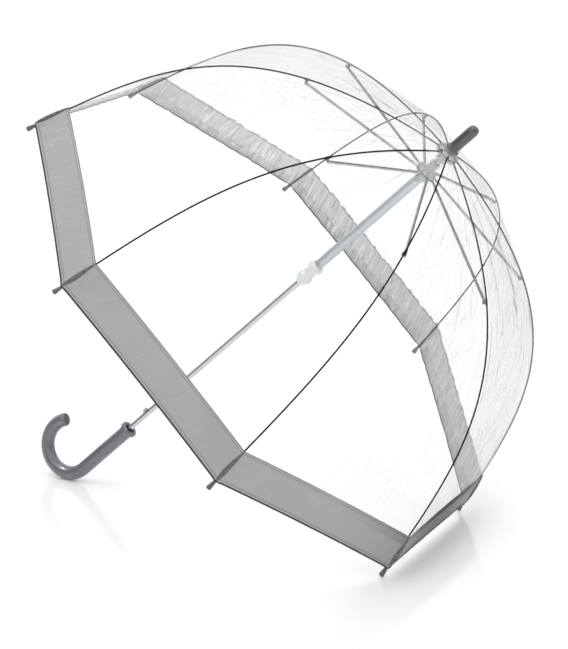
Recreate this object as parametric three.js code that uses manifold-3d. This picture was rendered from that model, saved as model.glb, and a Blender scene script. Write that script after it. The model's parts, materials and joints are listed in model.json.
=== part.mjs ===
// Clear dome umbrella, open and lying on the ground on its crook handle and two rib tips.
// Millimetres. The umbrella is built upright, with its shaft on Z and heights measured from the
// plane of the rib tips, and is laid down as a whole at the end.
import * as THREE from "three";
import { mergeVertices } from "three/addons/utils/BufferGeometryUtils.js";
import Module from "manifold-3d";

// Gap kept between pieces that touch.
const GAP = 0.3;

// Ribs: bowed rods that hinge at the top notch and end in the rib tips.
const RIB_COUNT = 8;
const RIB_STEP = (2 * Math.PI) / RIB_COUNT;
const RIM_RADIUS = 450;
const NOTCH_PIVOT = { radius: 16, height: 411 };
const RIB_BEND_HIGH = { radius: 338, height: 355 };
const RIB_BEND_LOW = { radius: 387, height: 213 };
const ROD_RADIUS = 1.3;
const ROD_SIDES = 8;
const ROD_STEPS = 36;
const FIRST_RIB_ANGLE = THREE.MathUtils.degToRad(-157.5);

// Rib tips: tapered caps pushed on the ends of the rods.
const TIP_LENGTH = 17;
const TIP_NECK_RADIUS = 2.6;
const TIP_END_RADIUS = 4.1;
const TIP_BORE_DEPTH = 11;
const ROD_IN_TIP = 10;

// Stretchers: channel bars from the runner crown to a clip on each rib.
const CLIP_STEP = 12;
const CLIP_PIVOT_DROP = 5;
const CLIP_LENGTH = 9;
const CLIP_RADIUS = 2;
const CLIP_TOP = 0.7;
const CROWN_PIVOT = { radius: 14, height: 366 };
const STRETCHER_SIDE = 4;
const CHANNEL_WIDTH = 3.2;
const CHANNEL_HEIGHT = 3;
const CHANNEL_WALL = 0.6;
const EYE_RADIUS = 2.3;
const EYE_BORE = 1.15;
const EYE_WIDTH = 2;
const PIN_HOLE_RADIUS = 1;

// Tie wires that thread the eyes in the top notch and in the runner crown.
const WIRE_RADIUS = 0.45;
const WIRE_SIDES = 5;

// Shaft and handle.
const SHAFT_RADIUS = 4.5;
const SHAFT_BORE = 3.6;
const SHAFT_TOP = 455;
const SHAFT_BOTTOM = -350;
const COLLAR_TOP = -293;
const COLLAR_RADIUS = 14;
const COLLAR_HEIGHT = 7;
const GRIP_RADIUS = 10.9;
const HANDLE_STRAIGHT = 110;
const CROOK_RADIUS = 43;
const CROOK_SWEEP = THREE.MathUtils.degToRad(205);
const CROOK_ANGLE = THREE.MathUtils.degToRad(169);
const HANDLE_SIDES = 24;
const HANDLE_STEPS = 46;

// Runner: a long tube with a plastic crown above and a spool grip below.
const TUBE_RADIUS = 7.5;
const TUBE_BORE = 6;
const TUBE_TOP = 356.7;
const TUBE_BOTTOM = 130;
const RUNNER_GRIP_TOP = 137;
const RUNNER_GRIP_BOTTOM = 96;
const RIVET_ANGLE = THREE.MathUtils.degToRad(-85);
const RIVET_HEIGHTS = [141, 349.5];

// Spring catches in the shaft.
const CATCH_ANGLE = THREE.MathUtils.degToRad(-175);
const TOP_CATCH = { height: 118, reach: 5.7 };
const BOTTOM_CATCH = { height: -252, reach: 8.4 };
const CATCH_WIDTH = 1.4;
const CATCH_NOSE = 12;

// Canopy film and its coloured border band.
const FILM_OFFSET = 1.9;
const FILM_THICKNESS = 0.6;
const BAND_THICKNESS = 0.3;
const BAND_WIDTH = 58;
const HEM_BOW = 2;
const PANEL_DIP = 6;
const PANEL_ROWS = 22;
const APEX_RADIUS = 8;
const APEX_HEIGHT = 416.9;
const APEX_LIFT = 3.5;

// Washer and ferrule that close the apex above the film.
const WASHER_RADIUS = 11;
const WASHER_BOTTOM = APEX_HEIGHT + FILM_THICKNESS + GAP;
const WASHER_TOP = WASHER_BOTTOM + 1.4;
const FERRULE_LENGTH = 51.4;

const wasm = await Module();
wasm.setup();

const plastic = (color, roughness) => new THREE.MeshStandardMaterial({ color, roughness, metalness: 0 });
const metal = (color, roughness) => new THREE.MeshStandardMaterial({ color, roughness, metalness: 1 });

const MATERIALS = {
  chrome: metal(0xd5d7da, 0.15),
  tube: metal(0xc3cacd, 0.4),
  steel: metal(0x8b8f94, 0.35),
  rod: metal(0x3b3c40, 0.4),
  white: plastic(0xeceeef, 0.35),
  frosted: plastic(0xdfe3e5, 0.3),
  grey: plastic(0x77787d, 0.25),
  ferrule: plastic(0x56575b, 0.25),
  band: plastic(0xa5a5a2, 0.45),
  film: new THREE.MeshStandardMaterial({
    color: 0xf2f5f7,
    roughness: 0.08,
    transparent: true,
    opacity: 0.2,
  }),
};

// A closed geometry as a manifold solid, optionally placed by a matrix.
function solid(geometry, matrix = new THREE.Matrix4()) {
  const bare = geometry.clone().applyMatrix4(matrix);
  bare.deleteAttribute("normal");
  bare.deleteAttribute("uv");
  const merged = mergeVertices(bare, 1e-4);
  return new wasm.Manifold(
    new wasm.Mesh({
      numProp: 3,
      vertProperties: merged.attributes.position.array,
      triVerts: new Uint32Array(merged.index.array),
    }),
  );
}

function geometryOf(manifold) {
  const { vertProperties, triVerts } = manifold.getMesh();
  const geometry = new THREE.BufferGeometry();
  geometry.setAttribute("position", new THREE.BufferAttribute(new Float32Array(vertProperties), 3));
  geometry.setIndex(new THREE.BufferAttribute(new Uint32Array(triVerts), 1));
  geometry.computeVertexNormals();
  return geometry;
}

const moved = (x, y, z) => new THREE.Matrix4().makeTranslation(x, y, z);
const turned = (angle) => new THREE.Matrix4().makeRotationZ(angle);

// A turned part about Z, from [radius, height] pairs that run up its outside. A ring's profile
// closes on itself, and any other starts and ends on the axis.
function turnedPart(profile, segments = 24) {
  const points = profile.map(([radius, height]) => new THREE.Vector2(radius, height));
  return new THREE.LatheGeometry(points, segments).rotateX(Math.PI / 2);
}

// A ring with a rectangular section.
function ring(inner, outer, bottom, top, segments = 24) {
  const profile = [
    [inner, bottom],
    [outer, bottom],
    [outer, top],
    [inner, top],
    [inner, bottom],
  ];
  return turnedPart(profile, segments);
}

// A short round bar along Y, centred on y = middle.
function crossBar(radius, width, middle = 0, segments = 12) {
  return new THREE.CylinderGeometry(radius, radius, width, segments).translate(0, middle, 0);
}

function block(x0, x1, y0, y1, z0, z1) {
  const box = new THREE.BoxGeometry(x1 - x0, y1 - y0, z1 - z0);
  return box.translate((x0 + x1) / 2, (y0 + y1) / 2, (z0 + z1) / 2);
}

// A round rod along a curve.
function rod(curve, radius, sides, steps) {
  const section = new THREE.Shape().absarc(0, 0, radius, 0, 2 * Math.PI);
  return new THREE.ExtrudeGeometry(section, {
    extrudePath: curve,
    steps,
    curveSegments: sides / 2,
    bevelEnabled: false,
  });
}

function mesh(name, geometry, material) {
  const made = new THREE.Mesh(geometry, material);
  made.name = name;
  return made;
}

// ---- The rib's centre line, in the plane of the rib: x outwards, z up the shaft.

const inPlane = ({ radius, height }) => new THREE.Vector3(radius, 0, height);

const ribLine = new THREE.CubicBezierCurve3(
  inPlane(NOTCH_PIVOT),
  inPlane(RIB_BEND_HIGH),
  inPlane(RIB_BEND_LOW),
  new THREE.Vector3(RIM_RADIUS, 0, 0),
);
const RIB_LENGTH = ribLine.getLength();
// The clips sit on one of the straight steps' corners, so that the rod runs true through them.
const CLIP_POSITION = ((RIB_LENGTH + ROD_IN_TIP) * CLIP_STEP) / (ROD_STEPS * RIB_LENGTH);

// The direction at right angles to the rib, away from the shaft.
function outward(share) {
  const along = ribLine.getTangentAt(share);
  return new THREE.Vector3(-along.z, 0, along.x);
}

const clipCentre = ribLine.getPointAt(CLIP_POSITION);
const clipPivot = clipCentre.clone().addScaledVector(outward(CLIP_POSITION), -CLIP_PIVOT_DROP);
const crownPivot = inPlane(CROWN_PIVOT);

// Ends a bar in an eye, bored along Y.
function withEye(bar, place) {
  const eye = solid(crossBar(EYE_RADIUS, EYE_WIDTH), place);
  const bore = solid(crossBar(EYE_BORE, 2 * EYE_WIDTH), place);
  return bar.add(eye).subtract(bore);
}

// ---- Rib, tip, clip and stretcher, each in the plane of its rib.

function ribGeometry() {
  const tipEnd = ribLine.getPoint(1).addScaledVector(ribLine.getTangent(1), ROD_IN_TIP);
  const line = new THREE.CurvePath();
  line.add(ribLine);
  line.add(new THREE.LineCurve3(ribLine.getPoint(1), tipEnd));
  const bar = solid(rod(line, ROD_RADIUS, ROD_SIDES, ROD_STEPS));
  return geometryOf(withEye(bar, moved(NOTCH_PIVOT.radius, 0, NOTCH_PIVOT.height)));
}

function tipGeometry() {
  const bore = ROD_RADIUS + GAP;
  const profile = [
    [0, -TIP_LENGTH],
    [TIP_END_RADIUS - 1.2, -TIP_LENGTH],
    [TIP_END_RADIUS, -TIP_LENGTH + 1.2],
    [TIP_END_RADIUS - 0.2, -TIP_LENGTH + 4],
    [TIP_NECK_RADIUS, -3.5],
    [TIP_NECK_RADIUS, -0.8],
    [bore, -0.8],
    [bore, -TIP_BORE_DEPTH],
    [0, -TIP_BORE_DEPTH],
  ];
  const along = ribLine.getTangent(1);
  const aim = new THREE.Quaternion().setFromUnitVectors(new THREE.Vector3(0, 0, -1), along);
  return turnedPart(profile, 12).applyQuaternion(aim).translate(RIM_RADIUS, 0, 0);
}

// The clip is a sleeve crimped on the rod from below, open under the film, with a lug below it.
function clipGeometry() {
  const half = CLIP_LENGTH / 2;
  const sleeve = new THREE.CylinderGeometry(CLIP_RADIUS, CLIP_RADIUS, CLIP_LENGTH, 16);
  const hole = new THREE.CylinderGeometry(ROD_RADIUS + GAP, ROD_RADIUS + GAP, CLIP_LENGTH + 2, 16);
  const bossEnd = STRETCHER_SIDE - CHANNEL_WIDTH / 2 - GAP;
  const flat = block(-half - 1, half + 1, -5, 5, CLIP_TOP, 5);
  const lug = block(-2.3, 2.3, -0.9, 0.9, -CLIP_PIVOT_DROP - 1.8, -ROD_RADIUS - GAP - 0.1);
  const boss = crossBar(1.3, bossEnd, bossEnd / 2).translate(0, 0, -CLIP_PIVOT_DROP);
  const made = solid(sleeve.rotateZ(Math.PI / 2))
    .add(solid(lug))
    .add(solid(boss))
    .subtract(solid(hole.rotateZ(Math.PI / 2)))
    .subtract(solid(flat));
  const along = ribLine.getTangentAt(CLIP_POSITION);
  const aim = new THREE.Matrix4().makeBasis(along, new THREE.Vector3(0, 1, 0), outward(CLIP_POSITION));
  return geometryOf(made).applyMatrix4(aim.setPosition(clipCentre));
}

// The stretcher is a channel, open towards the film, with a flat tongue and eye in the crown.
function stretcherGeometry() {
  const reach = clipPivot.clone().sub(crownPivot);
  const length = reach.length();
  const half = CHANNEL_WIDTH / 2;
  const low = -CHANNEL_HEIGHT / 2;
  const channelStart = 8;
  const outer = block(channelStart, length + 2.4, -half, half, low, -low);
  const inner = block(
    channelStart + 3,
    length + 4,
    -half + CHANNEL_WALL,
    half - CHANNEL_WALL,
    low + CHANNEL_WALL,
    -low + 1,
  );
  const tongue = block(0, channelStart + 1, -EYE_WIDTH / 2, EYE_WIDTH / 2, -1.2, 1.2);
  const bar = solid(outer).subtract(solid(inner)).add(solid(tongue));
  const pinHole = solid(crossBar(PIN_HOLE_RADIUS, 2 * CHANNEL_WIDTH), moved(length, 0, 0));
  const made = withEye(bar, moved(0, 0, 0)).subtract(pinHole);
  const along = reach.normalize();
  const above = new THREE.Vector3(-along.z, 0, along.x);
  const aim = new THREE.Matrix4().makeBasis(along, new THREE.Vector3(0, 1, 0), above);
  aim.setPosition(crownPivot.x, STRETCHER_SIDE, crownPivot.z);
  return geometryOf(made).applyMatrix4(aim);
}

// ---- Canopy panels: each spans from its rib to the next.

const HEM_SHARE = HEM_BOW / RIB_LENGTH;
const BAND_SHARE = 1 - BAND_WIDTH / RIB_LENGTH;

// The film's inner face beside the rib: just outside the rod, and lifted over the notch.
function filmLine(share, height) {
  const lift = APEX_LIFT * Math.max(0, 1 - share / 0.12) ** 2;
  return ribLine.getPointAt(share).addScaledVector(outward(share), FILM_OFFSET + lift + height);
}

// A point of the panel: share along the rib, across from one rib (0) to the next (1).
function panelPoint(share, across, height) {
  const bowed = share - HEM_SHARE * 4 * across * (1 - across) * share ** 6;
  const apex = new THREE.Vector3(APEX_RADIUS, 0, APEX_HEIGHT + height);
  const edge = bowed > 0 ? filmLine(bowed, height) : apex;
  const here = edge.clone();
  const next = edge.clone().applyAxisAngle(new THREE.Vector3(0, 0, 1), RIB_STEP);
  const point = here.lerp(next, across);
  const dip = PANEL_DIP * Math.sin(Math.PI * Math.max(0, bowed)) * 4 * across * (1 - across);
  return point.multiply(new THREE.Vector3(1 - dip / RIM_RADIUS, 1 - dip / RIM_RADIUS, 1));
}

// A closed sheet over a grid of shares along the rib and places across the panel.
function sheetGeometry(shares, columns, thickness) {
  const rows = shares.length;
  const positions = [];
  for (const height of [0, thickness]) {
    for (const share of shares) {
      const chord = 2 * Math.sin(RIB_STEP / 2) * Math.max(APEX_RADIUS, filmLine(Math.max(share, 0), 0).x);
      const seam = GAP / 2 / chord;
      for (let column = 0; column <= columns; column++) {
        const across = seam + (1 - 2 * seam) * (column / columns);
        positions.push(...panelPoint(share, across, height).toArray());
      }
    }
  }
  const stride = columns + 1;
  const layer = rows * stride;
  const at = (row, column, level) => level * layer + row * stride + column;
  const faces = [];
  const quad = (a, b, c, d) => faces.push(a, b, c, a, c, d);
  for (let row = 0; row + 1 < rows; row++) {
    for (let column = 0; column < columns; column++) {
      const [a, b, c, d] = [
        [row, column],
        [row + 1, column],
        [row + 1, column + 1],
        [row, column + 1],
      ];
      quad(at(...a, 1), at(...b, 1), at(...c, 1), at(...d, 1));
      quad(at(...d, 0), at(...c, 0), at(...b, 0), at(...a, 0));
    }
    quad(at(row, 0, 0), at(row + 1, 0, 0), at(row + 1, 0, 1), at(row, 0, 1));
    quad(at(row, columns, 1), at(row + 1, columns, 1), at(row + 1, columns, 0), at(row, columns, 0));
  }
  for (let column = 0; column < columns; column++) {
    quad(at(0, column, 0), at(0, column, 1), at(0, column + 1, 1), at(0, column + 1, 0));
    const [low, high] = [at(rows - 1, column, 0), at(rows - 1, column, 1)];
    quad(high, low, low + 1, high + 1);
  }
  const geometry = new THREE.BufferGeometry();
  geometry.setAttribute("position", new THREE.Float32BufferAttribute(positions, 3));
  geometry.setIndex(faces);
  geometry.computeVertexNormals();
  return geometry;
}

function evenShares(from, to, count) {
  return Array.from({ length: count + 1 }, (_, index) => from + ((to - from) * index) / count);
}

function panelGeometry() {
  const top = [-0.01, 0.004, 0.05, 0.1];
  const shares = [...top, ...evenShares(0.14, BAND_SHARE - GAP / RIB_LENGTH, PANEL_ROWS)];
  return sheetGeometry(shares, 4, FILM_THICKNESS);
}

function bandGeometry() {
  return sheetGeometry(evenShares(BAND_SHARE, 1, 3), 6, BAND_THICKNESS);
}

// ---- Hubs: discs with a wire groove and a slot for each bar.

// A hub with a groove for the tie wire at the pivots' height, slotted for eight bars.
function slottedHub(profile, slot) {
  let hub = solid(turnedPart(profile, 32));
  for (let index = 0; index < RIB_COUNT; index++) {
    const half = slot.width / 2;
    const cut = block(slot.from, 40, slot.side - half, slot.side + half, slot.bottom, slot.top);
    hub = hub.subtract(solid(cut, turned(FIRST_RIB_ANGLE + index * RIB_STEP)));
  }
  return geometryOf(hub);
}

function wireRing(radius, height) {
  const section = Array.from({ length: WIRE_SIDES }, (_, index) => {
    const angle = (index / WIRE_SIDES) * 2 * Math.PI;
    return [radius + WIRE_RADIUS * Math.cos(angle), height + WIRE_RADIUS * Math.sin(angle)];
  });
  return turnedPart([...section, section[0]], 32);
}

function notchGeometry() {
  const pivot = NOTCH_PIVOT.height;
  const bore = SHAFT_RADIUS + GAP;
  const profile = [
    [bore, pivot - 17],
    [8, pivot - 17],
    [8.6, pivot - 16],
    [8.6, pivot - 7],
    [17.5, pivot - 6],
    [18.8, pivot - 4.5],
    [18.8, pivot - 1.2],
    [14.3, pivot - 1.2],
    [14.3, pivot + 1.2],
    [18.8, pivot + 1.2],
    [18.2, pivot + 3.2],
    [13, pivot + 4.6],
    [bore, pivot + 4.6],
    [bore, pivot - 17],
  ];
  const slot = { from: 12.4, side: 0, width: 3.2, bottom: pivot - 8, top: pivot + 6 };
  return slottedHub(profile, slot);
}

function crownGeometry() {
  const pivot = CROWN_PIVOT.height;
  const collar = TUBE_RADIUS + GAP;
  const profile = [
    [TUBE_BORE, pivot - 8.5],
    [TUBE_BORE, pivot + 22],
    [7.6, pivot + 22],
    [8.2, pivot + 21],
    [8.2, pivot + 5.5],
    [16, pivot + 4.5],
    [17, pivot + 3.5],
    [17, pivot + 1.2],
    [12.4, pivot + 1.2],
    [12.4, pivot - 1.2],
    [17, pivot - 1.2],
    [17, pivot - 3.5],
    [15, pivot - 5],
    [10.2, pivot - 7],
    [9.6, pivot - 12.5],
    [collar, pivot - 12.5],
    [collar, pivot - 8.5],
    [TUBE_BORE, pivot - 8.5],
  ].reverse();
  const slot = { from: 10.6, side: STRETCHER_SIDE, width: 3, bottom: pivot - 6.4, top: pivot + 7 };
  return slottedHub(profile, slot);
}

// ---- Runner tube and grip.

function runnerTubeGeometry() {
  let tube = solid(ring(TUBE_BORE, TUBE_RADIUS, TUBE_BOTTOM, TUBE_TOP, 32));
  for (const height of RIVET_HEIGHTS) {
    const button = new THREE.CylinderGeometry(1.1, 1.7, 1.2, 12).rotateZ(-Math.PI / 2);
    const place = turned(RIVET_ANGLE).multiply(moved(TUBE_RADIUS, 0, height));
    tube = tube.add(solid(button, place));
  }
  const inside = solid(turnedPart(plugProfile(TUBE_BORE, TUBE_BOTTOM - 1, TUBE_TOP + 1), 32));
  return geometryOf(tube.subtract(inside));
}

const plugProfile = (radius, bottom, top) => [
  [0, bottom],
  [radius, bottom],
  [radius, top],
  [0, top],
];

// A spool: flange, waist and bulb, with a chamber inside for the top catch.
function runnerGripGeometry() {
  const top = RUNNER_GRIP_TOP;
  const bottom = RUNNER_GRIP_BOTTOM;
  const socket = TUBE_RADIUS + GAP;
  const profile = [
    [SHAFT_RADIUS + GAP, bottom],
    [7.5, bottom],
    [8.6, bottom + 1.5],
    [9, bottom + 4],
    [11.2, bottom + 7],
    [12.2, bottom + 11],
    [11.6, bottom + 15],
    [9.2, bottom + 20],
    [8.9, bottom + 25],
    [9.8, bottom + 29],
    [12, bottom + 32],
    [12.6, bottom + 35],
    [12.2, bottom + 38],
    [10.6, top - 1],
    [9.6, top],
    [socket, top],
    [socket, TUBE_BOTTOM - GAP],
    [TUBE_BORE + 0.2, TUBE_BOTTOM - GAP],
    [TUBE_BORE + 0.2, bottom + 14],
    [SHAFT_RADIUS + GAP, bottom + 12],
    [SHAFT_RADIUS + GAP, bottom],
  ];
  return turnedPart(profile, 36);
}

// ---- Shaft, spring catches, handle and ferrule.

function catchSlot({ height }) {
  const half = CATCH_WIDTH / 2 + GAP;
  const reach = CATCH_NOSE / 2 + 1.5;
  const slot = block(0, 2 * SHAFT_RADIUS, -half, half, height - reach, height + reach);
  return solid(slot, turned(CATCH_ANGLE));
}

function shaftGeometry() {
  const tube = solid(ring(SHAFT_BORE, SHAFT_RADIUS, SHAFT_BOTTOM, SHAFT_TOP, 24));
  return geometryOf(tube.subtract(catchSlot(TOP_CATCH)).subtract(catchSlot(BOTTOM_CATCH)));
}

// A leaf inside the shaft with a ramped nose that stands out through the slot.
function catchGeometry({ height, reach }) {
  const outline = new THREE.Shape([
    new THREE.Vector2(0.3, height - 34),
    new THREE.Vector2(1.2, height - 34),
    new THREE.Vector2(1.2, height - CATCH_NOSE / 2),
    new THREE.Vector2(SHAFT_RADIUS, height - CATCH_NOSE / 2),
    new THREE.Vector2(reach, height - CATCH_NOSE / 2 + 5),
    new THREE.Vector2(reach, height + CATCH_NOSE / 2 - 1),
    new THREE.Vector2(reach - 0.8, height + CATCH_NOSE / 2),
    new THREE.Vector2(0.3, height + CATCH_NOSE / 2),
  ]);
  const plate = new THREE.ExtrudeGeometry(outline, { depth: CATCH_WIDTH, bevelEnabled: false });
  return plate.translate(0, 0, -CATCH_WIDTH / 2).rotateX(Math.PI / 2).rotateZ(CATCH_ANGLE);
}

// The crook's centre line in its own plane: down the shaft, then round the bend.
class CrookCurve extends THREE.Curve {
  getPoint(t, target = new THREE.Vector3()) {
    const straight = HANDLE_STRAIGHT - COLLAR_HEIGHT;
    const bend = CROOK_RADIUS * CROOK_SWEEP;
    const run = t * (straight + bend);
    const start = COLLAR_TOP - COLLAR_HEIGHT;
    if (run < straight) return target.set(0, 0, start - run);
    const angle = (run - straight) / CROOK_RADIUS;
    const across = CROOK_RADIUS * (1 - Math.cos(angle));
    return target.set(across, 0, start - straight - CROOK_RADIUS * Math.sin(angle));
  }
}

// The rounded end of the crook, built on Z and aimed along the centre line.
function crookEnd(line) {
  const profile = [
    [0, -1],
    [GRIP_RADIUS, -1],
    [GRIP_RADIUS, 1],
    [GRIP_RADIUS - 0.8, 2.6],
    [GRIP_RADIUS - 2.4, 3.4],
    [0, 3.4],
  ];
  const aim = new THREE.Quaternion().setFromUnitVectors(new THREE.Vector3(0, 0, 1), line.getTangent(1));
  const place = new THREE.Matrix4().makeRotationFromQuaternion(aim).setPosition(line.getPoint(1));
  return solid(turnedPart(profile, HANDLE_SIDES), place);
}

function handleGeometry() {
  const line = new CrookCurve();
  const top = COLLAR_TOP;
  const collar = [
    [0, top - COLLAR_HEIGHT - 6],
    [GRIP_RADIUS + 0.1, top - COLLAR_HEIGHT - 6],
    [GRIP_RADIUS + 0.4, top - COLLAR_HEIGHT],
    [COLLAR_RADIUS - 0.4, top - COLLAR_HEIGHT + 1.6],
    [COLLAR_RADIUS, top - COLLAR_HEIGHT + 3],
    [COLLAR_RADIUS, top - 1.2],
    [COLLAR_RADIUS - 1, top],
    [0, top],
  ];
  const bore = [
    [0, SHAFT_BOTTOM - 2],
    [SHAFT_RADIUS + GAP, SHAFT_BOTTOM - 2],
    [SHAFT_RADIUS + GAP, top - 6],
    [7.6, top - 5.5],
    [8.2, top + 1],
    [0, top + 1],
  ];
  const made = solid(rod(line, GRIP_RADIUS, HANDLE_SIDES, HANDLE_STEPS))
    .add(crookEnd(line))
    .add(solid(turnedPart(collar, 24)))
    .subtract(solid(turnedPart(bore, HANDLE_SIDES)));
  return geometryOf(made).rotateZ(CROOK_ANGLE);
}

function washerGeometry() {
  return ring(SHAFT_RADIUS + GAP, WASHER_RADIUS, WASHER_BOTTOM, WASHER_TOP, 24);
}

function ferruleGeometry() {
  const base = WASHER_TOP + GAP;
  const bore = SHAFT_RADIUS + GAP;
  const profile = [
    [bore, base],
    [11.2, base],
    [12, base + 1],
    [11.6, base + 2.6],
    [9.4, base + 4.2],
    [8.8, base + 7],
    [8.9, base + 42],
    [8.2, base + 46.5],
    [6.2, base + 49.6],
    [3.2, base + 51],
    [0, base + FERRULE_LENGTH],
    [0, SHAFT_TOP + GAP + 1],
    [bore, SHAFT_TOP + GAP + 1],
    [bore, base],
  ];
  return turnedPart(profile, 36);
}

// ---- Assembly.

function fixedParts() {
  return [
    mesh("shaft", shaftGeometry(), MATERIALS.chrome),
    mesh("handle", handleGeometry(), MATERIALS.grey),
    mesh("top_notch", notchGeometry(), MATERIALS.frosted),
    mesh("notch_wire", wireRing(NOTCH_PIVOT.radius, NOTCH_PIVOT.height), MATERIALS.rod),
    mesh("top_washer", washerGeometry(), MATERIALS.frosted),
    mesh("ferrule", ferruleGeometry(), MATERIALS.ferrule),
    mesh("top_catch", catchGeometry(TOP_CATCH), MATERIALS.steel),
    mesh("bottom_catch", catchGeometry(BOTTOM_CATCH), MATERIALS.steel),
  ];
}

function runnerParts() {
  const wireRadius = Math.hypot(CROWN_PIVOT.radius, STRETCHER_SIDE);
  return [
    mesh("runner_tube", runnerTubeGeometry(), MATERIALS.tube),
    mesh("runner_grip", runnerGripGeometry(), MATERIALS.white),
    mesh("runner_crown", crownGeometry(), MATERIALS.frosted),
    mesh("runner_wire", wireRing(wireRadius, CROWN_PIVOT.height), MATERIALS.rod),
  ];
}

// One rib with everything that belongs to it, turned to its place round the shaft.
function spoke(index, shapes) {
  const number = index + 1;
  const group = new THREE.Group();
  group.rotation.z = FIRST_RIB_ANGLE + index * RIB_STEP;
  group.add(
    mesh(`rib_${number}`, shapes.rib, MATERIALS.rod),
    mesh(`rib_tip_${number}`, shapes.tip, MATERIALS.grey),
    mesh(`rib_clip_${number}`, shapes.clip, MATERIALS.steel),
    mesh(`stretcher_${number}`, shapes.stretcher, MATERIALS.steel),
    mesh(`canopy_panel_${number}`, shapes.panel, MATERIALS.film),
    mesh(`border_band_${number}`, shapes.band, MATERIALS.band),
  );
  return group;
}

function spokes() {
  const shapes = {
    rib: ribGeometry(),
    tip: tipGeometry(),
    clip: clipGeometry(),
    stretcher: stretcherGeometry(),
    panel: panelGeometry(),
    band: bandGeometry(),
  };
  return Array.from({ length: RIB_COUNT }, (_, index) => spoke(index, shapes));
}

// The height of the lowest of the named meshes with the umbrella tilted about Y.
function lowestPoint(umbrella, names, tilt) {
  umbrella.rotation.y = tilt;
  umbrella.updateMatrixWorld(true);
  const boxes = names.map((name) => new THREE.Box3().setFromObject(umbrella.getObjectByName(name), true));
  return Math.min(...boxes.map((box) => box.min.z));
}

// Tilts the umbrella until the handle and the two lowest rib tips touch one level, by halving.
function layDown(umbrella) {
  let flat = THREE.MathUtils.degToRad(20);
  let steep = THREE.MathUtils.degToRad(70);
  for (let round = 0; round < 30; round++) {
    const tilt = (flat + steep) / 2;
    const tips = lowestPoint(umbrella, ["rib_tip_4", "rib_tip_5"], tilt);
    const handle = lowestPoint(umbrella, ["handle"], tilt);
    if (handle < tips) flat = tilt;
    else steep = tilt;
  }
  const box = new THREE.Box3().setFromObject(umbrella, true);
  const centre = box.getCenter(new THREE.Vector3());
  umbrella.position.set(-centre.x, -centre.y, -box.min.z);
}

const umbrella = new THREE.Group();
umbrella.name = "umbrella";
umbrella.add(...fixedParts(), ...runnerParts(), ...spokes());
layDown(umbrella);

const part = new THREE.Group();
part.add(umbrella);

export default part;
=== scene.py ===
# Looks for the clear dome umbrella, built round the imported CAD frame. Metres, in the part's frame.
import json
import math

import bpy
import numpy as np
from mathutils import Matrix, Vector, noise


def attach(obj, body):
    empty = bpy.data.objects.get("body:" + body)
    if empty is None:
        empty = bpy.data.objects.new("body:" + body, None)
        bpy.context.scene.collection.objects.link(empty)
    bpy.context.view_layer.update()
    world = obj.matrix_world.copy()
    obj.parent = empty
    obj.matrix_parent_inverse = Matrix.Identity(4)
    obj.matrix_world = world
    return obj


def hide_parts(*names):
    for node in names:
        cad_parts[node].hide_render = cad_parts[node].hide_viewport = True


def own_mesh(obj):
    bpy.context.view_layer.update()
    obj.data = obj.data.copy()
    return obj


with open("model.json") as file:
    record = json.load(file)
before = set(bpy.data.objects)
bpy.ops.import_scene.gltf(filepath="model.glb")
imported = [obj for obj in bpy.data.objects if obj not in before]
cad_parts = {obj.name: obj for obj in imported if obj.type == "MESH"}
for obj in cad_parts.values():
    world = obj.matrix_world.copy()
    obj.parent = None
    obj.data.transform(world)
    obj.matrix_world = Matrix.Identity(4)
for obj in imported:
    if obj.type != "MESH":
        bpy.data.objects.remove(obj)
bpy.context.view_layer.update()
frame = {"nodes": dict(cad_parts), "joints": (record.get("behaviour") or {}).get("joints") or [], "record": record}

NODES = frame["nodes"]
JOINTS = {joint["name"]: joint for joint in frame["joints"]}

# ---- Dimensions shared with the CAD model.

RIBS = 8
RIB_STEP = 2 * math.pi / RIBS
HALF_STEP = RIB_STEP / 2
FIRST_RIB_ANGLE = math.radians(-157.5)
NOTCH_HEIGHT = 0.411
RIM_RADIUS = 0.450
RIB_BEZIER = np.array([(0.016, 0.411), (0.338, 0.355), (0.387, 0.213), (RIM_RADIUS, 0.0)])
HALF_CHORD = RIM_RADIUS * math.sin(HALF_STEP)
FILM_OFFSET = 0.0019
APEX_LIFT = 0.0035
APEX_RADIUS = 0.008
APEX_HEIGHT = 0.4169
APEX_REACH = 0.12
PANEL_DIP = 0.006
HEM_BOW = 0.002
BAND_WIDTH = 0.058
RUNNER_RADIUS = 0.0075
RIVET_ANGLE = math.radians(-85)
RIVET_HEIGHTS = (0.141, 0.3495)

# ---- Dimensions of the pieces that only this script makes. The hem is a count of the band's rows,
# and the profile and the wire tails are (radius, height).

BAND_ROWS = 16
HEM_ROWS = 5
HEM_DEPTH = BAND_WIDTH * HEM_ROWS / BAND_ROWS
BINDING_RADIUS = 0.0014
POCKET_LENGTH = 0.060
POCKET_WIDTH = 0.008
EYELET_PROFILE = [
    (0.0019, -0.0001),
    (0.0028, -0.0001),
    (0.0030, 0.0003),
    (0.0026, 0.0008),
    (0.0021, 0.0008),
    (0.0019, 0.0004),
    (0.0019, -0.0001),
]
TAIL_PLACES = {"frame": (0.0165, 0.411), "runner": (0.0146, 0.366)}
TAIL_RADIUS = 0.0004
TAIL_ANGLE = math.radians(-100)
SIDES = {"before": -1, "after": 1}
SHARP_EDGE = math.radians(38)

# ---- Mesh steps.

FILM_COLUMNS = 20
BAND_COLUMNS = 50
TUBE_SIDES = 6
LATHE_SIDES = 20

# ---- Heights of the canopy's layers above the film's inner face.

FILM_HEIGHT = 0.0001
BINDING_HEIGHT = 0.0003
BAND_HEIGHT = 0.0004
HEM_HEIGHT = -0.0002

# ---- Soft shapes: how far the film and the band stand off, and how far the band's edge frays.

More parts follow.
